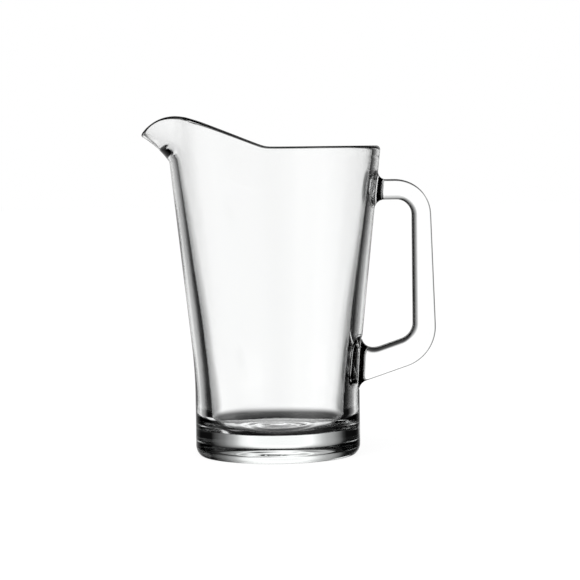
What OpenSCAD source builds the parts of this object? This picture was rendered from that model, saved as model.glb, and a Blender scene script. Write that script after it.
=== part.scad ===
// Glass beer pitcher: a heavy tapered vessel with a drawn-out pouring spout
// and a solid glass handle whose two flared roots sit on the wall.
// Millimetres, +Z up. The origin is the middle of the overall length and width on the
// standing plane, the spout points to -X and the handle to +X.

/* [Vessel] */
// Outer radius of the upright foot
foot_r = 56; // [48:0.2:62]
// Height at which the upright foot starts to lean outwards
foot_h = 39; // [28:1:60]
// Height over which the wall turns from upright to its taper
bend_h = 36; // [20:1:70]
// Outer radius at the rim
rim_r = 72; // [64:0.2:80]
// Height of the rim on the handle's side
rim_h = 208.5; // [180:0.5:240]
// Thickness of the wall at the rim
rim_wall = 5.2; // [3:0.1:7]
// Inner radius of the well at the floor
well_r = 44.8; // [38:0.1:48]
// Extra thickness of the wall a third of the way up
wall_swell = 2.4; // [0:0.1:3]
// Height of the inside floor, which is the thickness of the base
floor_h = 17.4; // [12:0.2:28]
// Radius between the inside wall and the floor
corner_r = 11; // [3:0.5:14]
// Radius of the outer heel
heel_r = 8.5; // [4:0.5:12]
// How far the heel turns in before it meets the flat, in degrees
heel_turn = 47; // [20:1:80]
// Radius of the hollow under the foot
punt_r = 46; // [30:1:50]
// Depth of the hollow under the foot
punt_h = 2.4; // [1:0.2:5]

/* [Spout] */
// Distance from the axis to the outer edge of the tip
spout_reach = 88.2; // [82:0.2:100]
// Depth of the spout's throat below the rim
throat_drop = 9.8; // [6:0.2:16]
// Half angle of the spout, seen from above
spout_angle = 34; // [24:1:44]
// Distance from the axis at which the rim starts to rise
rise_start = 7.2; // [0:0.2:30]
// Length over which the rim bends into its rise
rise_soft = 3; // [0.5:0.5:12]
// Slope at which the rim rises towards the spout, in degrees
rise_angle = 21.8; // [10:0.2:28]
// Drop of the rim at the tip, below the rising line
tip_drop = 22; // [14:0.5:28]
// Half angle over which the tip drops
tip_angle = 18.2; // [10:0.2:24]
// Thickness of the lip at the tip
lip_wall = 3; // [2:0.1:4]
// Thickness of the spout's wall between the throat and the lip
ramp_wall = 2.3; // [1.8:0.1:4]

/* [Handle] */
// Width of the handle, across the grip
handle_w = 17; // [12:0.5:24]
// Depth of the upper arm
arm_depth = 13.7; // [9:0.1:16]
// Top of the upper arm, below the rim
arm_drop = 22.7; // [16:0.1:40]
// Clear distance from the wall to the grip, at the upper arm
finger_gap = 24.5; // [18:0.5:36]
// Clear length of the grip between the two arms
grip_len = 92.1; // [70:0.1:110]
// Depth of the grip at its upper end
grip_depth = 12.1; // [10:0.1:18]
// Depth of the grip at its lower end
grip_foot = 16.1; // [12:0.1:22]
// Slope of the lower arm, in degrees
lower_slope = 18.9; // [5:0.1:30]
// Depth of the lower arm
lower_depth = 18.6; // [12:0.2:22]
// Inner bend of the upper corner
upper_inner_r = 10.5; // [5:0.5:14]
// Outer bend of the upper corner
upper_outer_r = 24.5; // [12:0.5:30]
// Inner bend of the lower corner
lower_inner_r = 11.5; // [5:0.5:16]
// Outer bend of the lower corner
lower_outer_r = 28.5; // [14:0.5:34]
// Rounding of the edges that face the fingers
finger_round = 6; // [2:0.5:8]
// Rounding of the edges that face outwards
back_round = 3; // [0.8:0.1:4]
// Radius of the flare at the upper root
upper_flare = 6; // [2:0.5:8]
// Radius of the flare at the lower root
lower_flare = 4.5; // [2:0.5:8]
// Radius of the flare between the wall and the top of the lower arm
crotch_flare = 12.5; // [6:0.5:16]

/* [Hidden] */

// Fineness of the lofts
sectors = 84;
heel_steps = 4;
bend_steps = 4;
wall_steps = 4;
lip_steps = 11;
bead_steps = 4;
corner_steps = 4;
punt_steps = 3;
edge_steps = 5;
arc_steps = 9;
flare_steps = 7;

// Shares that set how a curve runs
crowd_share = 0.33;
even_share = 0.72;
crease_share = 0.06;
thick_share = 0.15;
thin_share = 0.35;
bead_share = 0.12;
swell_share = 4 / 27;
side_share = 1.4;
floor_shares = [0.85, 0.45];

throat_h = rim_h - throat_drop;
heel_h = heel_r * sin(heel_turn);
overrun = rim_wall / 2;
taper = (rim_r - foot_r) / (rim_h - foot_h - bend_h / 2);
mouth_r = rim_r - rim_wall;
beak_pull = spout_reach - rim_r;

function smooth(t) = let (c = min(max(t, 0), 1)) c * c * (3 - 2 * c);

// Angles measured from the handle; sectors crowd together at the spout
function sector_angle(j) = let (u = 360 * j / sectors) u + crowd_share * sin(u) * 180 / PI;
function from_spout(a) = 180 - a;

// Upright foot, then a parabola, then a straight taper
function body_r(z) =
    let (u = max(0, z - foot_h))
    foot_r + taper * (u < bend_h ? u * u / (2 * bend_h) : u - bend_h / 2);
function body_slope(z) = taper * min(max(0, z - foot_h) / bend_h, 1);

// Height of the rim: it rises along a line towards the spout and dips at the tip
function pull_weight(f) = abs(f) < spout_angle ? pow(cos(90 * f / spout_angle), 2) : 0;
function rim_plan_r(f) = rim_r + beak_pull * pull_weight(f);
function soft_ramp(s) = (s + sqrt(s * s + rise_soft * rise_soft)) / 2;
function rim_line(f) =
    rim_h - rim_wall / 2
    + tan(rise_angle) * soft_ramp(rim_plan_r(f) * cos(f) - rise_start)
    - tip_drop * exp(-pow(f / tip_angle, 2));

// How far the spout is drawn out at a share of its height: a soft crease at the throat,
// then partly even and partly cubic growth
function creased(t) = norm([t, crease_share]);
function eased(t) = (creased(t) - crease_share) / (creased(1) - crease_share);
function drawn(t) = let (u = eased(t)) even_share * u + (1 - even_share) * pow(u, 3);
function drawn_slope(t) =
    let (u = eased(t))
    (even_share + 3 * (1 - even_share) * u * u) * t / creased(t) / (creased(1) - crease_share);

// Outer radius and its slope at a height, for the direction f from the spout
function beak_share(f, z) = min(max(0, z - throat_h) / (rim_line(f) - throat_h), 1);
function outer_r(f, z) = body_r(z) + beak_pull * pull_weight(f) * drawn(beak_share(f, z));
function outer_slope(f, z) =
    body_slope(z)
    + beak_pull * pull_weight(f) * drawn_slope(beak_share(f, z)) / (rim_line(f) - throat_h);

// Inside wall: a cone, drawn in a little, most of all a third of the way up
function inner_r(z) =
    let (t = (z - floor_h) / (rim_h - floor_h))
    well_r + (mouth_r - well_r) * t - wall_swell * t * pow(1 - t, 2) / swell_share;

// Above the throat the spout's wall soon thins, and the lip is a little thicker again
function lip_thickness(f, z) =
    let (c = 1 / sqrt(1 + pow(outer_slope(f, throat_h), 2)))
    let (thick = (outer_r(f, throat_h) - inner_r(throat_h)) * c)
    let (w = smooth(2 * pull_weight(f)), s = beak_share(f, z))
    let (thin = rim_wall + (ramp_wall - rim_wall) * w)
    let (edge = rim_wall + (lip_wall - rim_wall) * w)
    thick
    + (thin - thick) * smooth((s - thick_share) / thin_share)
    + (edge - thin) * smooth((s - 1 + bead_share) / bead_share);
function wall_tangent(f, z) = let (m = outer_slope(f, z)) [m, 1] / sqrt(1 + m * m);
function wall_inward(f, z) = let (t = wall_tangent(f, z)) [-t.y, t.x];
function lip_point(f, z) = [outer_r(f, z), z];
function lip_inside(f, z) = lip_point(f, z) + lip_thickness(f, z) * wall_inward(f, z);

wall_heights = concat(
    [heel_h],
    [for (i = [0 : bend_steps]) foot_h + bend_h * i / bend_steps],
    [for (i = [1 : wall_steps]) foot_h + bend_h + (throat_h - foot_h - bend_h) * i / wall_steps]);

// One half section of the vessel in the direction f, from under the foot
// over the rim to the floor
function vessel_section(f) =
    let (top = rim_line(f))
    let (half = lip_thickness(f, top) / 2)
    let (bead = lip_point(f, top) + half * wall_inward(f, top))
    let (corner_top = floor_h + corner_r)
    let (corner_x = inner_r(corner_top) - corner_r)
    concat(
        [for (i = [1 : punt_steps]) let (s = i / punt_steps) [punt_r * s, punt_h * (1 - s * s)]],
        [for (i = [0 : heel_steps]) let (q = heel_turn * (1 - i / heel_steps))
            [foot_r - heel_r * (1 - cos(q)), heel_h - heel_r * sin(q)]],
        [for (i = [1 : len(wall_heights) - 1]) let (z = wall_heights[i]) [outer_r(f, z), z]],
        [for (i = [1 : lip_steps]) lip_point(f, throat_h + (top - throat_h) * i / lip_steps)],
        [for (i = [1 : bead_steps - 1]) let (q = 180 * i / bead_steps)
            bead - half * cos(q) * wall_inward(f, top) + half * sin(q) * wall_tangent(f, top)],
        [for (i = [lip_steps : -1 : 1]) lip_inside(f, throat_h + (top - throat_h) * i / lip_steps)],
        [for (i = [len(wall_heights) - 1 : -1 : 1]) let (z = wall_heights[i])
            if (z > corner_top) [inner_r(z), z]],
        [for (i = [0 : corner_steps]) let (q = 90 * i / corner_steps)
            [corner_x + corner_r * cos(q), corner_top - corner_r * sin(q)]],
        [for (s = floor_shares) [corner_x * s, floor_h]]);

function quad_faces(rows, n) =
    [for (i = [0 : rows - 2], j = [0 : n - 1])
        let (k = (j + 1) % n, a = i * n + j, b = i * n + k, c = a + n, d = b + n)
        each [[a, c, d], [a, d, b]]];
function first_fan(centre, n) = [for (j = [0 : n - 1]) [centre, j, (j + 1) % n]];
function last_fan(centre, start, n) = [for (j = [0 : n - 1]) [start + j, centre, start + (j + 1) % n]];

// Closed skin through rings of points, with a middle point at each end
module skin(rings, first, last) {
    rows = len(rings);
    n = len(rings[0]);
    polyhedron(
        points = concat([for (ring = rings) each ring], [first, last]),
        faces = concat(
            quad_faces(rows, n),
            first_fan(rows * n, n),
            last_fan(rows * n + 1, (rows - 1) * n, n)));
}

module vessel() {
    angles = [for (j = [0 : sectors - 1]) sector_angle(j)];
    sections = [for (a = angles) vessel_section(from_spout(a))];
    rings = [for (i = [0 : len(sections[0]) - 1])
        [for (j = [0 : sectors - 1]) let (p = sections[j][i])
            [p.x * cos(angles[j]), p.x * sin(angles[j]), p.y]]];
    color([0.86, 0.92, 0.92])
        translate([axis_x, 0, 0])
            skin(rings, [0, 0, punt_h], [0, 0, floor_h]);
}

// Side view of the handle: its inner and outer outline, each two corners
arm_top = rim_h - arm_drop;
arm_low = arm_top - arm_depth;
grip_x = body_r(arm_low) + finger_gap;
lower_z = arm_low - grip_len;
// Place of the vessel's axis, so that the overall length is centred on the origin
axis_x = (spout_reach - grip_x - grip_foot) / 2;
inner_corners = [[grip_x, arm_low], [grip_x, lower_z]];
outer_corners = [
    [grip_x + grip_depth, arm_top],
    [grip_x + grip_foot, lower_z - lower_depth / cos(lower_slope) + grip_foot * tan(lower_slope)]];

function upper_line(p, x) = [x, p.y];
function lower_line(p, x) = [x, p.y - (p.x - x) * tan(lower_slope)];
// Where a line of the arm stands at a distance from the wall
function upper_at(p, gap) = upper_line(p, body_r(p.y) + gap);
function lower_at(p, gap) =
    let (q = lower_line(p, body_r(p.y) + gap))
    let (r = lower_line(p, body_r(q.y) + gap))
    lower_line(p, body_r(r.y) + gap);

// Points of the round between two lines that meet at a corner
function unit(v) = v / norm(v);
function corner_arc(p, corner, n, r) =
    let (u = unit(p - corner), v = unit(n - corner))
    let (half = acos(u * v) / 2)
    let (mid = corner + unit(u + v) * r / sin(half))
    let (start = corner + u * r / tan(half), stop = corner + v * r / tan(half))
    let (e = unit(start - mid), g = unit(stop - mid))
    let (sweep = acos(e * g))
    [for (i = [0 : arc_steps]) let (t = i / arc_steps)
        mid + r * (sin((1 - t) * sweep) * e + sin(t * sweep) * g) / sin(sweep)];

function side_line(corners, upper_r, lower_r) =
    concat(
        corner_arc(upper_at(corners[0], 0), corners[0], corners[1], upper_r),
        corner_arc(corners[0], corners[1], lower_at(corners[1], 0), lower_r));

// Outline of the bar across its run: depth from the finger side outwards, and width
function bar_outline(depth, grow, finger) =
    let (rf = finger_round + grow, rb = back_round + grow, w = handle_w / 2 + grow * side_share)
    let (lo = rf - finger, hi = depth + grow - rb)
    concat(
        [for (i = [0 : edge_steps]) let (q = 90 * i / edge_steps)
            [hi + rb * sin(q), -(w - rb) - rb * cos(q)]],
        [for (i = [0 : edge_steps]) let (q = 90 * i / edge_steps)
            [hi + rb * cos(q), w - rb + rb * sin(q)]],
        [for (i = [0 : edge_steps]) let (q = 90 * i / edge_steps)
            [lo - rf * sin(q), w - rf + rf * cos(q)]],
        [for (i = [0 : edge_steps]) let (q = 90 * i / edge_steps)
            [lo - rf * cos(q), -(w - rf) - rf * sin(q)]]);

function bar_ring(a, b, grow, finger, sag) =
    let (e = unit(b - a))
    [for (p = bar_outline(norm(b - a), grow, finger))
        [a.x + e.x * p.x - (sag > 0 ? sag - sqrt(sag * sag - p.y * p.y) : 0), p.y, a.y + e.y * p.x]];

// Rings of a root, spreading as they come to the wall
function flare_gaps(r) = concat([for (i = [0 : flare_steps]) r * (1 - sin(90 * i / flare_steps))], [-overrun]);
function flare_grow(r, gap) = let (u = min(max(0, r - gap), r)) r - sqrt(r * r - u * u);
function upper_root() =
    [for (g = flare_gaps(upper_flare))
        bar_ring(upper_at(inner_corners[0], g), upper_at(outer_corners[0], g),
            flare_grow(upper_flare, g), flare_grow(upper_flare, g), body_r(arm_low))];
function lower_root() =
    [for (g = flare_gaps(max(lower_flare, crotch_flare)))
        bar_ring(lower_at(inner_corners[1], g), lower_at(outer_corners[1], g),
            flare_grow(lower_flare, g), flare_grow(crotch_flare, g), body_r(lower_z))];
function reversed(list) = [for (i = [len(list) - 1 : -1 : 0]) list[i]];
function middle(ring) = [for (p = ring) 1] * ring / len(ring);

// The vessel's outside as one solid of revolution, to trim the roots
module wall_core() {
    rotate_extrude($fn = sectors)
        polygon(concat(
            [[0, 0], [foot_r, 0]],
            [for (z = wall_heights) [body_r(z), z]],
            [[body_r(rim_h), rim_h], [0, rim_h]]));
}

module handle() {
    inner = side_line(inner_corners, upper_inner_r, lower_inner_r);
    outer = side_line(outer_corners, upper_outer_r, lower_outer_r);
    rings = concat(
        reversed(upper_root()),
        [for (i = [0 : len(inner) - 1]) bar_ring(inner[i], outer[i], 0, 0, 0)],
        lower_root());
    color([0.82, 0.90, 0.91])
        translate([axis_x, 0, 0])
            difference() {
                skin(rings, middle(rings[0]), middle(rings[len(rings) - 1]));
                wall_core();
            }
}

vessel();
handle();
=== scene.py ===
import math

import bpy
import numpy as np
from bpy.props import FloatProperty, FloatVectorProperty, PointerProperty
from mathutils import Matrix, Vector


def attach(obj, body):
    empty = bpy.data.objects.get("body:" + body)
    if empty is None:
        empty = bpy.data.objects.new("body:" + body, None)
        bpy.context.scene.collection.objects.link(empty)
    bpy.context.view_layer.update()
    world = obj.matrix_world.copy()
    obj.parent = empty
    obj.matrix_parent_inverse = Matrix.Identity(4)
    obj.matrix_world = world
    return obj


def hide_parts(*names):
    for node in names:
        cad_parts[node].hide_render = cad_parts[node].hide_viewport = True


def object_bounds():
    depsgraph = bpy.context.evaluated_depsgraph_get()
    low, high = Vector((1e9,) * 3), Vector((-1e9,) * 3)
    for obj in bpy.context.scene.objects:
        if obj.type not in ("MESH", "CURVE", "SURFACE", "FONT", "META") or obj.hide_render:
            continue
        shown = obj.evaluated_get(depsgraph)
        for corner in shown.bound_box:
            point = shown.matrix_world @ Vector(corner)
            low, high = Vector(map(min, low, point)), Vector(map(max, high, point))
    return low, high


bl_info = {
    "name": "Glass Beer Pitcher",
    "version": (1, 0, 0),
    "blender": (4, 5, 0),
    "location": "View3D > Sidebar > Pitcher",
    "description": "Builds a heavy glass pitcher with a drawn spout and a solid handle, and its studio",
    "category": "Add Mesh",
}

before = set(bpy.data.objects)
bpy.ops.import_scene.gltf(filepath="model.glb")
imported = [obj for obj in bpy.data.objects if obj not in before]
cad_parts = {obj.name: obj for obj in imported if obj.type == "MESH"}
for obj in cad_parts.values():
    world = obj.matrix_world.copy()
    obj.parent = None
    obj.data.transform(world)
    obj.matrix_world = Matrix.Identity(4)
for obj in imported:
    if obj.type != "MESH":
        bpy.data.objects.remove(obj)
CAD_BOX = [list(corner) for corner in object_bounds()]


def length(name, about, value):
    """A size in metres."""
    return FloatProperty(
        name=name, description=about, default=value, precision=4, unit="LENGTH", subtype="DISTANCE")


def turn(name, about, degrees):
    """An angle, given in degrees."""
    return FloatProperty(
        name=name, description=about, default=math.radians(degrees), unit="ROTATION", subtype="ANGLE")


def amount(name, about, value):
    """A plain number."""
    return FloatProperty(name=name, description=about, default=value, precision=4)


def colour(name, about, value):
    """A linear colour."""
    return FloatVectorProperty(
        name=name, description=about, default=value, size=3, min=0.0, max=1.0, subtype="COLOR")


class PitcherVessel(bpy.types.PropertyGroup):
    """Sizes of the round body"""
    foot_radius: length("Foot radius", "Outer radius of the upright foot", 0.056)
    foot_height: length("Foot height", "Height at which the upright foot starts to lean outwards", 0.039)
    bend_height: length("Bend height", "Height over which the wall turns from upright to its taper", 0.036)
    rim_radius: length("Rim radius", "Outer radius at the rim", 0.072)
    rim_height: length("Rim height", "Height of the rim on the handle's side", 0.2085)
    rim_wall: length("Rim wall", "Thickness of the wall at the rim", 0.0052)
    well_radius: length("Well radius", "Inner radius of the well at the floor", 0.0448)
    floor_height: length("Floor height", "Thickness of the base", 0.0174)
    corner_radius: length("Corner radius", "Wide arc by which the inside wall turns to the floor", 0.0155)
    corner_turn: turn("Corner turn", "How far the wide arc turns before the tight one", 46.0)
    corner_edge: length("Corner edge", "Tight arc that ends on the floor", 0.0024)
    heel_radius: length("Heel radius", "Round of the outer heel", 0.0085)
    heel_turn: turn("Heel turn", "How far the heel turns in before it meets the flat", 47.0)
    heel_edge: length("Heel edge", "Small round between the heel and the flat", 0.0006)
    punt_radius: length("Hollow radius", "Radius of the hollow under the foot", 0.046)
    punt_height: length("Hollow depth", "Depth of the hollow under the foot", 0.0024)
    swell: length("Swell", "How much thicker the wall is a third of the way up than an even taper", 0.0024)
    ripple: length("Ripple", "Height of the slow waves that pressing leaves on the inside wall", 0.00006)
    ripple_fade: length("Ripple fade", "Length over which the waves fade out at both ends", 0.02)
    floor_marks: length("Floor marks", "Height of the flow marks that pressing leaves on the floor", 0.0001)
    floor_pitch: length("Floor pitch", "Distance from one flow mark on the floor to the next", 0.02)
    punt_marks: length("Hollow marks", "Height of the flow marks in the hollow", 0.0005)
    punt_pitch: length("Hollow pitch", "Distance from one flow mark in the hollow to the next", 0.011)
    punt_reach: length("Hollow reach", "Radius at which the flow marks in the hollow end", 0.036)


class PitcherSpout(bpy.types.PropertyGroup):
    """Sizes of the pouring spout"""
    reach: length("Reach", "Distance from the axis to the outer edge of the tip", 0.0882)
    throat_drop: length("Throat drop", "Depth of the throat below the rim", 0.0098)
    half_angle: turn("Half angle", "Half angle of the spout, seen from above", 34.0)
    rise_start: length("Rise start", "Distance from the axis at which the rim starts to rise", 0.0072)
    rise_soft: length("Rise softness", "Length over which the rim bends into its rise", 0.003)
    rise_angle: turn("Rise angle", "Slope at which the rim rises", 21.8)
    tip_drop: length("Tip drop", "Drop of the rim at the tip, below the rising line", 0.022)
    tip_angle: turn("Tip angle", "Half angle over which the tip drops", 18.2)
    lip_wall: length("Lip wall", "Thickness of the lip at the tip", 0.003)
    ramp_wall: length("Ramp wall", "Thickness of the spout's wall between the throat and the lip", 0.0023)
    even_share: amount("Even share", "Share of the draw that grows evenly; the rest is cubic", 0.72)
    thin_from: amount("Thin from", "Share of the lip's height at which the wall starts to thin", 0.15)
    thin_to: amount("Thin to", "Share of the lip's height at which it is thinnest", 0.5)
    crease: amount("Crease", "Softness of the crease at the throat, as a share of the lip's height", 0.06)


class PitcherHandle(bpy.types.PropertyGroup):
    """Sizes of the solid handle"""
    width: length("Width", "Width across the grip", 0.017)
    arm_depth: length("Arm depth", "Depth of the upper arm", 0.0137)
    arm_drop: length("Arm drop", "Top of the upper arm, below the rim", 0.0227)
    finger_gap: length("Finger gap", "Clear distance from the wall to the grip, at the upper arm", 0.0245)
    grip_length: length("Grip length", "Clear length of the grip between the arms", 0.0921)
    grip_depth: length("Grip depth", "Depth of the grip at its upper end", 0.0121)
    grip_foot: length("Grip foot", "Depth of the grip at its lower end", 0.0161)
    lower_slope: turn("Lower slope", "Slope of the lower arm", 18.9)
    lower_depth: length("Lower depth", "Depth of the lower arm", 0.0186)
    upper_inner: length("Upper inner bend", "Inner bend of the upper corner", 0.0105)
    upper_outer: length("Upper outer bend", "Outer bend of the upper corner", 0.0245)
    lower_inner: length("Lower inner bend", "Inner bend of the lower corner", 0.0115)
    lower_outer: length("Lower outer bend", "Outer bend of the lower corner", 0.0285)
    finger_round: length("Finger round", "Rounding of the edges that face the fingers", 0.006)
    back_round: length("Back round", "Rounding of the edges that face outwards", 0.003)
    upper_flare: length("Upper flare", "Radius of the flare at the upper root", 0.006)
    lower_flare: length("Lower flare", "Radius of the flare at the lower root", 0.0045)
    crotch: length("Crotch", "Radius of the flare between the wall and the top of the lower arm", 0.0125)
    side_flare: amount("Side flare", "How much more the roots spread sideways than up and down", 1.4)
    pad_depth: length("Pad depth", "How far into the wall the fused look of the roots goes", 0.0034)
    upper_reach: amount("Upper reach", "Length of the upper root, as a multiple of its flare", 1.7)
    lower_reach: amount("Lower reach", "Length of the lower root, as a multiple of the crotch", 1.4)
    weld: length("Weld", "How far the end of each root reaches into the wall", 0.0004)


class PitcherGlass(bpy.types.PropertyGroup):
    """Finish of the glass"""
    tint: colour("Tint", "Colour of the clear glass", (0.997, 0.999, 0.998))
    depth_tint: colour("Depth tint", "Colour that thick glass takes on", (0.80, 0.86, 0.84))
    density: amount("Density", "How fast thick glass takes on that colour, per metre", 3.0)
    index: amount("Index", "Index of refraction", 1.5)
    wave: length("Wave", "Height of the slow surface waves", 0.00006)
    wave_scale: amount("Wave scale", "Slow waves per metre", 30.0)
    peel: length("Peel", "Height of the fine fire-polished skin", 0.0000003)
    peel_scale: amount("Peel scale", "Ripples of the skin per metre", 420.0)
    wear: amount("Wear", "Roughness of the scuffs on the bearing ring", 0.35)
    wear_scale: amount("Wear scale", "Scuffs per metre", 1500.0)
    wear_full: length("Wear full", "Height up to which the bearing ring is scuffed all over", 0.0001)
    wear_end: length("Wear end", "Height at which the scuffs end", 0.0009)


class PitcherStudio(bpy.types.PropertyGroup):
    """Camera and light"""
    distance: length("Distance", "Distance of the camera from the middle of the pitcher", 1.4625)
    height: length("Height", "Height of the camera above the table", 0.2085)
    aside: length("Aside", "Sideways place of the camera", -0.00085)
    tilt: turn("Tilt", "How far the camera looks down", 3.80)
    roll: turn("Roll", "Turn of the camera about its line of sight", -0.77)
    lens: amount("Lens", "Focal length in millimetres", 133.7)
    table: colour("Table", "Colour of the table top", (0.90, 0.90, 0.90))
    table_half: length("Table half", "Half the width of the table", 6.0)
    table_gap: length("Table gap", "Gap between the foot and the table", 0.0002)


def ease(t):
    """Smooth step from 0 to 1."""
    c = np.clip(t, 0.0, 1.0)
    return c * c * (3.0 - 2.0 * c)


def column(low, high, count):
    """Evenly spaced values, one in each row."""
    return np.linspace(low, high, count)[:, None]


def slow_waves(a, z):
    """Three crossed waves over the inside wall, each with its number of waves round the axis, its turn per
    metre of height, its start and its share."""
    kinds = ((3, 47.0, 0.6, 1.0), (5, -83.0, 2.1, 0.7), (8, 61.0, 4.0, 0.5))
    waves = sum(share * np.sin(around * a + along * z + start) for around, along, start, share in kinds)
    return waves / sum(share for *_, share in kinds)


def flow_marks(a, r, pitch, reach):
    """A spiral, crossed by a weaker one that has two arms and turns the other way. Both fade out at the
    middle and at their reach."""
    spiral = np.cos(2 * np.pi * r / pitch - a)
    crossing = np.cos(4.6 * r / pitch + 2 * a + 1.0)
    weak = 0.7
    return (spiral + weak * crossing) / (1 + weak) * ease(r / pitch) * ease(2 - 2 * r / reach)


class Form:
    """The curves that follow from the sizes. z is a height and f the angle from the spout, in radians."""

    def __init__(self, scene):
        v, s, h = scene.pitcher_vessel, scene.pitcher_spout, scene.pitcher_handle
        self.vessel, self.spout, self.handle = v, s, h
        self.throat = v.rim_height - s.throat_drop
        self.taper = (v.rim_radius - v.foot_radius) / (v.rim_height - v.foot_height - v.bend_height / 2)
        self.pull = s.reach - v.rim_radius
        self.arm_top = v.rim_height - h.arm_drop
        self.arm_low = self.arm_top - h.arm_depth
        self.grip_x = float(self.body_radius(self.arm_low)) + h.finger_gap
        self.lower_z = self.arm_low - h.grip_length
        self.inner = [np.array([self.grip_x, self.arm_low]), np.array([self.grip_x, self.lower_z])]
        drop = h.lower_depth / math.cos(h.lower_slope) - h.grip_foot * math.tan(h.lower_slope)
        self.outer = [
            np.array([self.grip_x + h.grip_depth, self.arm_top]),
            np.array([self.grip_x + h.grip_foot, self.lower_z - drop])]
        self.axis_x = (s.reach - self.grip_x - h.grip_foot) / 2

    def body_radius(self, z):
        """Upright foot, then a parabola over the bend, then a straight taper."""
        v = self.vessel
        u = np.maximum(z - v.foot_height, 0.0)
        bent = np.where(u < v.bend_height, u * u / (2 * v.bend_height), u - v.bend_height / 2)
        return v.foot_radius + self.taper * bent

    def body_slope(self, z):
        """Outward slope of the wall."""
        return self.taper * np.clip((z - self.vessel.foot_height) / self.vessel.bend_height, 0.0, 1.0)

    def pull_weight(self, f):
        """Squared cosine over the spout's angle: 1 at its middle, 0 at its sides."""
        share = np.clip(f / self.spout.half_angle, -1.0, 1.0)
        return np.cos(np.pi / 2 * share) ** 2

    def rim_line(self, f):
        """Height of the lip's outer edge: level, then a softly started rising line, less a bell-shaped drop
        at the tip."""
        v, s = self.vessel, self.spout
        along = (v.rim_radius + self.pull * self.pull_weight(f)) * np.cos(f) - s.rise_start
        ramp = (along + np.hypot(along, s.rise_soft)) / 2
        drop = s.tip_drop * np.exp(-(f / s.tip_angle) ** 2)
        return v.rim_height - v.rim_wall / 2 + math.tan(s.rise_angle) * ramp - drop

    def lip_share(self, f, z):
        """0 at the throat and 1 at the lip's edge."""
        return np.clip((z - self.throat) / (self.rim_line(f) - self.throat), 0.0, 1.0)

    def drawn(self, t):
        """How far the spout is drawn out at a share of its height, and the slope of that curve."""
        c, even = self.spout.crease, self.spout.even_share
        soft, full = np.hypot(t, c), math.hypot(1.0, c) - c
        u = (soft - c) / full
        return even * u + (1 - even) * u ** 3, (even + 3 * (1 - even) * u * u) * t / soft / full

    def outer_radius(self, f, z):
        """The body, and the spout drawn out of it above the throat."""
        return self.body_radius(z) + self.pull * self.pull_weight(f) * self.drawn(self.lip_share(f, z))[0]

    def outer_slope(self, f, z):
        """Outward slope of that surface."""
        draw = self.drawn(self.lip_share(f, z))[1] / (self.rim_line(f) - self.throat)
        return self.body_slope(z) + self.pull * self.pull_weight(f) * draw

    def inner_radius(self, z):
        """The inside wall: a cone, drawn in a little, most of all a third of the way up, where t (1 - t)^2
        has its peak of 4/27."""
        v = self.vessel
        t = (z - v.floor_height) / (v.rim_height - v.floor_height)
        cone = v.well_radius + (v.rim_radius - v.rim_wall - v.well_radius) * t
        return cone - v.swell * 27 / 4 * t * (1 - t) ** 2

    def lip_thickness(self, f, z):
        """The wall's own thickness at the throat, thinned along the spout, most of all at its middle, and a
        little thicker again at the lip."""
        v, s = self.vessel, self.spout
        share, weight = self.lip_share(f, z), self.pull_weight(f)
        wall = self.outer_radius(f, self.throat) - self.inner_radius(self.throat)
        wall = wall / np.hypot(1.0, self.outer_slope(f, self.throat))
        thin = v.rim_wall + (s.ramp_wall - v.rim_wall) * weight
        edge = v.rim_wall + (s.lip_wall - v.rim_wall) * weight
        thinned = ease((share - s.thin_from) / (s.thin_to - s.thin_from))
        return wall + (thin - wall) * thinned + (edge - thin) * ease((share - s.thin_to) / (1 - s.thin_to))

    def upper_at(self, corner, gap):
        """Where a line of the level upper arm through a corner is a gap away from the wall."""
        return np.stack([self.body_radius(corner[1]) + gap, corner[1] + 0 * gap], axis=-1)

    def lower_at(self, corner, gap):
        """The same for the lower arm, whose lines slope. A few rounds of substitution find the place."""
        z = corner[1] + 0 * gap
        for _ in range(6):
            x = self.body_radius(z) + gap
            z = corner[1] - (corner[0] - x) * math.tan(self.handle.lower_slope)
        return np.stack([x, z], axis=-1)

    def pads(self):
        """Where the two roots meet the wall: middle height, half height, half width, the corner rounds of the
        finger and back sides, +1 if the back side is above, and a radius that lies within the wall."""
        h = self.handle
        roots = (
            (self.upper_at, 0, h.upper_flare, h.upper_flare, 1.0),
            (self.lower_at, 1, h.lower_flare, h.crotch, -1.0))
        spots = []
        for at, end, flare, finger, up in roots:
            low = float(at(self.inner[end], 0.0)[1]) - up * finger
            high = float(at(self.outer[end], 0.0)[1]) + up * flare
            middle = (low + high) / 2
            spots.append((
                middle, abs(high - low) / 2, h.width / 2 + flare * h.side_flare,
                h.finger_round + flare, h.back_round + flare, up,
                float(self.body_radius(middle)) - h.pad_depth))
        return spots

    def tangent(self, f, z):
        """Unit direction up the outer surface, as (outward, up)."""
        m = self.outer_slope(f, z)
        n = np.hypot(1.0, m)
        return m / n, 1.0 / n


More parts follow.
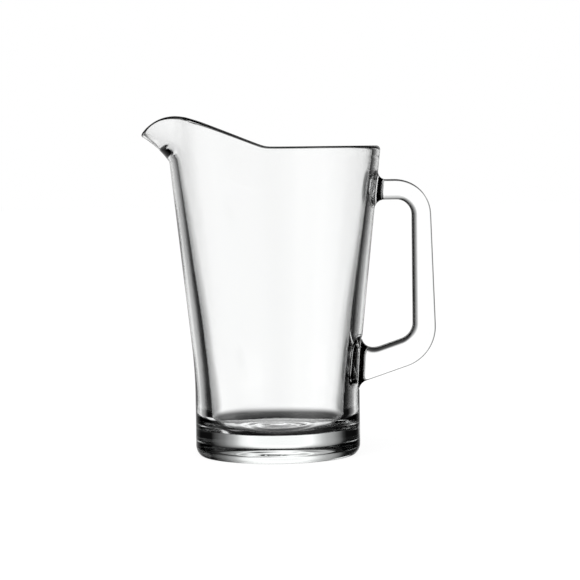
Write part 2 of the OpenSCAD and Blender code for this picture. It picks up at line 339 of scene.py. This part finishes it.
def vessel_surface(form, sectors=240, crowd=0.33):
    """Half sections of the vessel for every direction round its axis: under the foot, up the outside, over
    the rounded lip and down the inside to the floor, as radius and height turned about the axis. The
    directions crowd at the spout."""
    v = form.vessel
    u = np.linspace(0.0, 2 * np.pi, sectors, endpoint=False)
    a = u + crowd * np.sin(u)
    f = np.pi - a
    top, level = form.rim_line(f), np.zeros(sectors)
    parts = []

    r = v.punt_radius * column(0.0, 1.0, 61)[1:]
    dome = v.punt_height * (1 - (r / v.punt_radius) ** 2)
    parts.append((r, dome + v.punt_marks * flow_marks(a, r, v.punt_pitch, v.punt_reach)))
    inset = v.heel_radius * (1 - math.cos(v.heel_turn))
    rise = v.heel_edge * (1 - math.sin(v.heel_turn))
    q = column(np.pi / 2, v.heel_turn, 7)
    parts.append((
        v.foot_radius - inset + v.heel_edge * (np.cos(q) - math.cos(v.heel_turn)),
        v.heel_edge * (1 - np.sin(q))))
    q = column(v.heel_turn, 0.0, 14)[1:]
    parts.append((
        v.foot_radius - v.heel_radius * (1 - np.cos(q)),
        rise + v.heel_radius * (math.sin(v.heel_turn) - np.sin(q))))
    z = column(rise + v.heel_radius * math.sin(v.heel_turn), form.throat, 70)[1:]
    parts.append((form.body_radius(z), z))
    z = form.throat + (top - form.throat) * column(0.0, 1.0, 33)[1:]
    parts.append((form.outer_radius(f, z), z))

    out, up = form.tangent(f, top)
    half = form.lip_thickness(f, top) / 2
    q = column(0.0, np.pi, 14)[1:-1]
    parts.append((
        form.outer_radius(f, top) + half * (up * (np.cos(q) - 1) + out * np.sin(q)),
        top + half * (out * (1 - np.cos(q)) + up * np.sin(q))))

    z = form.throat + (top - form.throat) * column(1.0, 0.0, 33)[:-1]
    out, up = form.tangent(f, z)
    thick = form.lip_thickness(f, z)
    parts.append((form.outer_radius(f, z) - thick * up, z + thick * out))

    wide, tight, bend = v.corner_radius, v.corner_edge, v.corner_turn
    corner_top = v.floor_height + wide * math.sin(bend) + tight * (1 - math.sin(bend))
    wall_x = float(form.inner_radius(corner_top))
    flat_x = wall_x - wide * (1 - math.cos(bend)) - tight * math.cos(bend)
    z = column(form.throat, corner_top, 90)
    fade = ease((form.throat - z) / v.ripple_fade) * ease((z - corner_top) / v.ripple_fade)
    parts.append((form.inner_radius(z) + v.ripple * fade * slow_waves(a, z), z))
    q = column(0.0, bend, 15)[1:]
    parts.append((wall_x - wide * (1 - np.cos(q)), corner_top - wide * np.sin(q)))
    q = column(bend, np.pi / 2, 12)[1:]
    parts.append((flat_x + tight * np.cos(q), v.floor_height + tight * (1 - np.sin(q))))
    r = flat_x * column(1.0, 0.0, 50)[1:-1]
    parts.append((r, v.floor_height + v.floor_marks * flow_marks(a, r, v.floor_pitch, flat_x)))

    radius = np.concatenate([r + level for r, _ in parts])
    height = np.concatenate([z + level for _, z in parts])
    grid = np.stack([form.axis_x + radius * np.cos(a), radius * np.sin(a), height], axis=-1)
    return grid, (form.axis_x, 0.0, v.punt_height), (form.axis_x, 0.0, v.floor_height)


def round_corner(before, corner, after, radius, steps):
    """Points of the circle that is tangent to both lines at a corner."""
    u, w = [(p - corner) / np.linalg.norm(p - corner) for p in (before, after)]
    half = math.acos(float(u @ w)) / 2
    middle = corner + (u + w) / np.linalg.norm(u + w) * radius / math.sin(half)
    e, g = (corner + side * radius / math.tan(half) - middle for side in (u, w))
    sweep = math.pi - 2 * half
    t = np.linspace(0.0, 1.0, steps)[:, None]
    return middle + (np.sin((1 - t) * sweep) * e + np.sin(t * sweep) * g) / math.sin(sweep)


def bar_outline(handle, depth, grow, finger):
    """Rounded rectangle across the bar for each row: distance from the finger side, and place across the
    width."""
    rf, rb = handle.finger_round + grow, handle.back_round + grow
    w = handle.width / 2 + grow * handle.side_flare
    low, high = rf - finger, depth + grow - rb
    q = np.linspace(0.0, np.pi / 2, 13)
    sin, cos = np.sin(q), np.cos(q)
    corners = [
        (high + rb * sin, -(w - rb) - rb * cos),
        (high + rb * cos, w - rb + rb * sin),
        (low - rf * sin, w - rf + rf * cos),
        (low - rf * cos, -(w - rf) - rf * sin)]
    shares = np.array([0.05, 0.2, 0.4, 0.6, 0.8, 0.95])

    def side(start, stop):
        """Points of the straight side between two corners."""
        return start[:, -1:] + (stop[:, :1] - start[:, -1:]) * shares

    out = []
    for (p, y), (p2, y2) in zip(corners, corners[1:] + corners[:1]):
        out += [(p, y), (side(p, p2), side(y, y2))]
    return np.concatenate([p for p, _ in out], axis=1), np.concatenate([y for _, y in out], axis=1)


def handle_surface(form):
    """A rounded bar carried along the handle's side view. Each ring spans from the inner to the outer
    outline. Near the wall the rings bend to its roundness and spread by a quarter circle, and each end is
    closed by rings just inside the wall."""
    h = form.handle
    inner, outer, radius = form.inner, form.outer, form.body_radius

    def between(start, stop, count):
        """Evenly spaced points between two ends, without the ends."""
        return start + (stop - start) * column(0.0, 1.0, count)[1:-1]

    def run(corners, bends, start, stop):
        """A line with two rounded corners."""
        first = round_corner(start, corners[0], corners[1], bends[0], 28)
        second = round_corner(corners[0], corners[1], stop, bends[1], 28)
        return np.concatenate([
            between(start, first[0], 5), first, between(first[-1], second[0], 48),
            second, between(second[-1], stop, 16)])

    def rings(a, b, grow, finger):
        """Sections of the bar from the points a of the inner outline to the points b of the outer one."""
        e = b - a
        depth = np.linalg.norm(e, axis=1, keepdims=True)
        p, y = bar_outline(h, depth, grow, finger)
        e = e / depth
        return np.stack([a[:, :1] + e[:, :1] * p, y, a[:, 1:] + e[:, 1:] * p], axis=-1)

    def quarter(r, gap):
        """Spread of a quarter circle of radius r at a gap from the wall: r - sqrt(r^2 - (r - gap)^2)."""
        return (r - np.sqrt(np.maximum(r ** 2 - np.maximum(r - gap, 0.0) ** 2, 0.0)))[:, None]

    def root(at, corners, flare, finger, reach):
        """The rings from the wall to the reach of a root."""
        gap = reach * (1 - np.cos(np.linspace(0.0, np.pi / 2, 34)))
        made = rings(at(corners[0], gap), at(corners[1], gap), quarter(flare, gap), quarter(finger, gap))
        wall = radius(made[..., 2])
        bent = np.sqrt(wall ** 2 - made[..., 1] ** 2) - wall
        made[..., 0] += bent * ease(1 - gap / reach)[:, None]
        made[0, :, 0] = wall[0] + bent[0]
        return made

    def end_cap(ring):
        """Shrinking copies of a root's first ring, just inside the wall, and their middle point."""
        middle = ring[:, 1:].mean(axis=0)
        share = np.array([1.0, 0.9, 0.7, 0.5, 0.3, 0.12])[:, None, None]
        flat = middle + (ring[:, 1:] - middle) * share
        x = np.sqrt((radius(flat[..., 1]) - h.weld) ** 2 - flat[..., 0] ** 2)
        pole = (float(radius(middle[1])) - h.weld, middle[0], middle[1])
        return np.concatenate([x[..., None], flat], axis=-1), pole

    up_reach, low_reach = h.upper_reach * h.upper_flare, h.lower_reach * h.crotch
    upper = root(form.upper_at, (inner[0], outer[0]), h.upper_flare, h.upper_flare, up_reach)
    lower = root(form.lower_at, (inner[1], outer[1]), h.lower_flare, h.crotch, low_reach)
    lines = ((inner, (h.upper_inner, h.lower_inner)), (outer, (h.upper_outer, h.lower_outer)))
    a, b = (
        run(line, bends, form.upper_at(line[0], up_reach), form.lower_at(line[1], low_reach))
        for line, bends in lines)
    bar = rings(a, b, np.zeros((len(a), 1)), 0.0)
    top_cap, top_pole = end_cap(upper[0])
    low_cap, low_pole = end_cap(lower[0])
    grid = np.concatenate([top_cap[::-1], upper, bar, lower[::-1], low_cap])
    shift = np.array([form.axis_x, 0.0, 0.0])
    return grid + shift, top_pole + shift, low_pole + shift


def closed_skin(name, grid, first, last, fused=0):
    """Mesh through a grid of rings, each ring closed on itself, with a fan to a middle point at each end.
    The signed volume decides which way round the faces go, so that they point outwards. The first and last
    fused rings are marked as inside another piece of glass."""
    rows, n = grid.shape[:2]
    points = np.concatenate([grid.reshape(-1, 3), [first, last]])
    i, j = np.meshgrid(np.arange(rows - 1), np.arange(n), indexing="ij")
    k = (j + 1) % n
    quads = np.stack([i * n + j, i * n + k, (i + 1) * n + k, (i + 1) * n + j], axis=-1).reshape(-1, 4)
    j, k = np.arange(n), (np.arange(n) + 1) % n
    end = (rows - 1) * n
    fans = np.concatenate([
        np.stack([k, j, 0 * j + rows * n], axis=-1),
        np.stack([end + j, end + k, 0 * j + rows * n + 1], axis=-1)])
    p, q, r, s = (points[quads[:, c]] for c in range(4))
    volume = (p * np.cross(q, r)).sum() + (p * np.cross(r, s)).sum()
    if volume < 0:
        quads, fans = quads[:, ::-1], fans[:, ::-1]
    mesh = bpy.data.meshes.new(name)
    mesh.vertices.add(len(points))
    mesh.vertices.foreach_set("co", points.astype(np.float32).ravel())
    mesh.loops.add(quads.size + fans.size)
    mesh.loops.foreach_set("vertex_index", np.concatenate([quads.ravel(), fans.ravel()]).astype(np.int32))
    starts = np.concatenate([np.arange(len(quads)) * 4, quads.size + np.arange(len(fans)) * 3])
    mesh.polygons.add(len(starts))
    mesh.polygons.foreach_set("loop_start", starts.astype(np.int32))
    mesh.polygons.foreach_set("use_smooth", np.ones(len(starts), bool))
    inside = np.zeros(len(points), np.float32)
    if fused:
        inside[:fused * n] = inside[(rows - fused) * n:] = 1.0
    mesh.attributes.new("fused", "FLOAT", "POINT").data.foreach_set("value", inside)
    mesh.update(calc_edges=True)
    if mesh.validate():
        raise RuntimeError(f"{name}: the grid gave faces that Blender had to mend")
    piece = bpy.data.objects.new(name, mesh)
    bpy.context.scene.collection.objects.link(piece)
    return piece


class Link:
    """A node's output. Arithmetic on it adds Math nodes, and [name] gives another output of the same node."""

    def __init__(self, tree, socket):
        self.tree, self.socket = tree, socket

    def __getitem__(self, output):
        return Link(self.tree, self.socket.node.outputs[output])

    def math(self, operation, *values):
        return self.tree.node("ShaderNodeMath", {"operation": operation}, dict(enumerate(values)))

    def __add__(self, other):
        return self.math("ADD", self, other)

    def __sub__(self, other):
        return self.math("SUBTRACT", self, other)

    def __rsub__(self, other):
        return self.math("SUBTRACT", other, self)

    def __mul__(self, other):
        return self.math("MULTIPLY", self, other)

    def __truediv__(self, other):
        return self.math("DIVIDE", self, other)

    __radd__, __rmul__ = __add__, __mul__


class Tree:
    """A node tree that is written as expressions."""

    def __init__(self, owner):
        owner.use_nodes = True
        self.nodes, self.links = owner.node_tree.nodes, owner.node_tree.links
        self.nodes.clear()

    def node(self, kind, settings=None, inputs=None):
        """Any node: its settings first, then the values or links of its sockets. A ramp takes its stops as a
        setting."""
        made = self.nodes.new(kind)
        for key, value in (settings or {}).items():
            if key == "stops":
                ramp = made.color_ramp.elements
                while len(ramp) < len(value):
                    ramp.new(1.0)
                for stop, (place, level) in zip(ramp, value):
                    stop.position, stop.color = place, (level, level, level, 1.0)
            else:
                setattr(made, key, value)
        for key, value in (inputs or {}).items():
            if isinstance(value, Link):
                self.links.new(value.socket, made.inputs[key])
            else:
                made.inputs[key].default_value = value
        return Link(self, made.outputs[0] if made.outputs else None)

    def smooth(self, value, low, high):
        """Smooth step of a value from low to high."""
        settings = {"interpolation_type": "SMOOTHSTEP"}
        return self.node("ShaderNodeMapRange", settings, {0: value, 1: low, 2: high})


def clear_glass(name, glass, pads=(), axis=0.0):
    """Heavy pressed glass, fire-polished: slow waves and a fine skin in the surface, and the bearing ring
    worn dull. Where two pieces are fused, light goes straight on, because no surface lies between them."""
    material = bpy.data.materials.new(name)
    tree = Tree(material)
    place = tree.node("ShaderNodeTexCoord")["Object"]
    at = tree.node("ShaderNodeSeparateXYZ", None, {0: place})
    height = at["Z"]
    slow, fine, scuffs = (
        tree.node("ShaderNodeTexNoise", None, {"Vector": place, "Scale": scale, "Detail": detail})
        for scale, detail in ((glass.wave_scale, 1.0), (glass.peel_scale, 2.0), (glass.wear_scale, 4.0)))
    ring = tree.smooth(height, glass.wear_end, glass.wear_full)
    relief = slow * glass.wave + fine * glass.peel
    bump = tree.node("ShaderNodeBump", None, {"Strength": 1.0, "Distance": 1.0, "Height": relief})
    body = tree.node("ShaderNodeBsdfPrincipled", None, {
        "Base Color": (*glass.tint, 1.0),
        "Roughness": ring * tree.smooth(scuffs, 0.35, 0.7) * glass.wear,
        "IOR": glass.index,
        "Transmission Weight": 1.0,
        "Normal": bump})
    # The mark runs out from 1 to 0 over one row of faces, and that row counts as fused almost to its end.
    joined = tree.node("ShaderNodeAttribute", {"attribute_name": "fused"})["Fac"]
    fused = joined.math("GREATER_THAN", joined, 0.02)
    for middle, half, wide, finger, back, up, skin in pads:
        v = (height - middle) * up
        above = v.math("GREATER_THAN", v, 0.0)
        r = above * (back - finger) + finger
        across = at["Y"].math("MAXIMUM", at["Y"].math("ABSOLUTE", at["Y"]) - wide + r, 0.0)
        along = v.math("MAXIMUM", v.math("ABSOLUTE", v) - half + r, 0.0)
        edge = across.math("SQRT", across * across + along * along) - r
        side = at["X"] - axis
        reach = side * side.math("ABSOLUTE", side) + at["Y"] * at["Y"]
        outside = reach.math("GREATER_THAN", reach, skin * skin)
        fused = fused.math("MAXIMUM", fused, edge.math("LESS_THAN", edge, 0.0) * outside)
    through = tree.node("ShaderNodeBsdfPrincipled", None, {
        "Base Color": (1.0, 1.0, 1.0, 1.0), "Roughness": 0.0, "IOR": 1.0, "Transmission Weight": 1.0})
    surface = tree.node("ShaderNodeMixShader", None, {0: fused, 1: body, 2: through})
    depth = tree.node("ShaderNodeVolumeAbsorption", None, {
        "Color": (*glass.depth_tint, 1.0), "Density": glass.density})
    tree.node("ShaderNodeOutputMaterial", None, {"Surface": surface, "Volume": depth})
    return material


def table_top(colour, glow=1.1, share=0.8):
    """A pale lit table: it glows white by itself and takes part of its light from the lamps, so that a shadow
    stays."""
    material = bpy.data.materials.new("pale_table")
    tree = Tree(material)
    place = tree.node("ShaderNodeTexCoord")["Object"]
    grain = tree.node("ShaderNodeTexNoise", None, {"Vector": place, "Scale": 60.0, "Detail": 3.0})
    matt = tree.node("ShaderNodeBsdfDiffuse", None, {
        "Color": (*colour, 1.0), "Roughness": 0.4 + 0.2 * grain})
    lit = tree.node("ShaderNodeEmission", None, {"Color": (1.0, 1.0, 1.0, 1.0), "Strength": glow})
    mixed = tree.node("ShaderNodeMixShader", None, {0: share, 1: matt, 2: lit})
    tree.node("ShaderNodeOutputMaterial", None, {"Surface": mixed})
    return material


# How the light of a card falls off: degrees from its middle, and the share of its light there.
EDGE = [
    (0, 0.93), (11, 0.94), (15.5, 1), (17, 0.94), (19, 0.77),
    (22.5, 0.53), (25.5, 0.41), (30, 0.32), (40, 0.03), (44, 0)]
SHORT = [
    (0, 0.93), (7, 0.94), (13, 1), (16.5, 0.87), (18, 0.76),
    (20, 0.54), (22.5, 0.37), (28.5, 0.16), (35, 0.06), (41, 0)]
TIGHT = [(0, 1), (9, 1), (12, 0.6), (15, 0.15), (18, 0)]
WIDE = [(0, 1), (20, 1), (60, 0.5), (85, 0)]
# Half the width of the blend from the left to the right side of a card, in degrees.
BLEND = 8.0
# The light where no card is, the share of the cards' light in reflections, and the light on matt things.
DARK, SHEEN, ROOM = 0.005, 0.4, 0.8


def studio_sky(world):
    """The room round the pitcher. The camera sees plain white. The glass sees a dark room with soft-edged
    white cards: one behind the pitcher for each side that it is looked at from, one above the first, and a
    weak one beside the camera."""
    tree = Tree(world)
    way = tree.node("ShaderNodeSeparateXYZ", None, {0: tree.node("ShaderNodeTexCoord")["Generated"]})
    x, y, z = way["X"], way["Y"], way["Z"]
    angle = z.math("ARCSINE", z)
    rise = angle.math("DEGREES", angle)

    def card(level, bearing, height, above, below, left, right=None, squeeze=1.0):
        """White near its middle and dark far from it, as the stops for its left and right side say. The
        factors above, below and squeeze say how much faster it falls off upwards, downwards and to the
        right."""
        c, s = math.cos(math.radians(bearing)), math.sin(math.radians(bearing))
        ahead = x.math("ARCTAN2", x * c - y * s, x * s + y * c)
        aside = ahead.math("DEGREES", ahead)
        up, down = (rise - height) * above, (height - rise) * below
        tall = up.math("MAXIMUM", up, down)
        wide = aside.math("MAXIMUM", aside * squeeze, aside * -1.0)
        far = wide.math("POWER", wide, 4.0) + tall.math("POWER", tall, 4.0)
        far = far.math("POWER", far, 0.25) / 90.0

        def side(stops):
            return tree.node("ShaderNodeValToRGB", {"stops": [(a / 90, v) for a, v in stops]}, {0: far})

        light = side(left)
        if right:
            light = light + (side(right) - light) * tree.smooth(aside, -BLEND, BLEND)
        return light * level

    # The first card ends softly at its lower edge, below which it would light up the foot.
    low_end = 0.1 + 0.9 * tree.smooth(rise, -28.0, -17.0)
    cards = (
        card(1.17, 0.0, -4.0, 1.0, 0.75, EDGE, SHORT) * low_end
        + card(0.86, -90.0, -5.5, 2.4, 1.0, EDGE, squeeze=2.3)
        + card(0.97, 135.0, -15.0, 1.2, 1.0, EDGE)
        + card(1.0, -45.0, -25.0, 2.2, 1.8, TIGHT)
        + card(0.4, 0.0, 28.0, 0.8, 0.8, TIGHT)
        + card(0.05, 180.0, 2.0, 0.4, 0.4, WIDE)
        + DARK)
    path = tree.node("ShaderNodeLightPath")
    through = path["Is Transmission Ray"]
    glass = path.math("MAXIMUM", path["Is Glossy Ray"], through)
    light = cards * (SHEEN * glass + (1 - SHEEN) * through) + ROOM * (1 - glass)
    seen = light * (1 - path["Is Camera Ray"]) + path["Is Camera Ray"]
    sky = tree.node("ShaderNodeBackground", None, {"Color": seen, "Strength": 1.0})
    tree.node("ShaderNodeOutputWorld", None, {"Surface": sky})


def soft_lamp(name, place, size, power):
    """A square soft lamp that points at the middle of the pitcher and doesn't show in the glass."""
    lamp = bpy.data.lights.new(name, "AREA")
    lamp.shape, lamp.size, lamp.energy = "SQUARE", size, power
    made = bpy.data.objects.new(name, lamp)
    made.location = place
    middle = (np.array(CAD_BOX[0]) + np.array(CAD_BOX[1])) / 2
    x, y, z = np.array(place) - middle
    made.rotation_euler = (math.atan2(math.hypot(x, y), z), 0.0, math.atan2(x, -y))
    made.visible_camera = made.visible_glossy = made.visible_transmission = False
    bpy.context.scene.collection.objects.link(made)


class PITCHER_OT_vessel(bpy.types.Operator):
    """Makes the vessel with its spout, in clear glass"""
    bl_idname = "pitcher.vessel"
    bl_label = "Make Vessel"

    def execute(self, context):
        form = Form(context.scene)
        piece = closed_skin("glass_vessel", *vessel_surface(form))
        glass = context.scene.pitcher_glass
        piece.data.materials.append(clear_glass("vessel_clear_glass", glass, form.pads(), form.axis_x))
        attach(piece, "root")
        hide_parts("vessel")
        return {"FINISHED"}


class PITCHER_OT_handle(bpy.types.Operator):
    """Makes the solid handle with its flared roots, in clear glass"""
    bl_idname = "pitcher.handle"
    bl_label = "Make Handle"

    def execute(self, context):
        piece = closed_skin("glass_handle", *handle_surface(Form(context.scene)), fused=6)
        piece.data.materials.append(clear_glass("handle_clear_glass", context.scene.pitcher_glass))
        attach(piece, "root")
        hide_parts("handle")
        return {"FINISHED"}


class PITCHER_OT_studio(bpy.types.Operator):
    """Makes the table, the room, the lamps and the camera"""
    bl_idname = "pitcher.studio"
    bl_label = "Make Studio"

    def execute(self, context):
        scene, studio = context.scene, context.scene.pitcher_studio
        scene.view_settings.view_transform = "Standard"
        side = np.array([-studio.table_half, studio.table_half])
        x, y = np.meshgrid(side, side)
        points = np.stack([x, y, np.full_like(x, -studio.table_gap)], axis=-1).reshape(-1, 3)
        mesh = bpy.data.meshes.new("table")
        mesh.from_pydata(points.tolist(), [], [(0, 1, 3, 2)])
        table = bpy.data.objects.new("table", mesh)
        mesh.materials.append(table_top(studio.table))
        table.visible_glossy = table.visible_transmission = False
        scene.collection.objects.link(table)

        scene.world = bpy.data.worlds.new("studio")
        studio_sky(scene.world)
        soft_lamp("key_lamp", place=(-0.9, -0.8, 1.3), size=0.9, power=6.0)
        soft_lamp("fill_lamp", place=(1.1, -0.4, 0.9), size=0.9, power=3.0)

        lens = bpy.data.cameras.new("camera")
        lens.lens, lens.sensor_width = studio.lens, 36.0
        camera = bpy.data.objects.new("camera", lens)
        aim = Matrix.Rotation(math.pi / 2 - studio.tilt, 4, "X") @ Matrix.Rotation(studio.roll, 4, "Z")
        camera.matrix_world = Matrix.Translation((studio.aside, -studio.distance, studio.height)) @ aim
        scene.collection.objects.link(camera)
        scene.camera = camera
        return {"FINISHED"}


class PITCHER_PT_sidebar(bpy.types.Panel):
    """Lists the sizes and the steps"""
    bl_idname = "PITCHER_PT_sidebar"
    bl_label = "Pitcher"
    bl_space_type = "VIEW_3D"
    bl_region_type = "UI"
    bl_category = "Pitcher"

    def draw(self, context):
        for group in ("vessel", "spout", "handle", "glass", "studio"):
            sizes = getattr(context.scene, "pitcher_" + group)
            box = self.layout.box()
            box.label(text=group.capitalize())
            for name in sizes.__annotations__:
                box.prop(sizes, name)
            if group in ("vessel", "handle", "studio"):
                box.operator("pitcher." + group)


GROUPS = {
    "pitcher_vessel": PitcherVessel,
    "pitcher_spout": PitcherSpout,
    "pitcher_handle": PitcherHandle,
    "pitcher_glass": PitcherGlass,
    "pitcher_studio": PitcherStudio,
}
CLASSES = (*GROUPS.values(), PITCHER_OT_vessel, PITCHER_OT_handle, PITCHER_OT_studio, PITCHER_PT_sidebar)


def register():
    for cls in CLASSES:
        bpy.utils.register_class(cls)
    for name, group in GROUPS.items():
        setattr(bpy.types.Scene, name, PointerProperty(type=group))


def unregister():
    for name in GROUPS:
        delattr(bpy.types.Scene, name)
    for cls in reversed(CLASSES):
        bpy.utils.unregister_class(cls)


def main():
    register()
    bpy.ops.pitcher.vessel()
    bpy.ops.pitcher.handle()
    bpy.ops.pitcher.studio()
    bpy.context.view_layer.update()


if __name__ == "__main__":
    main()
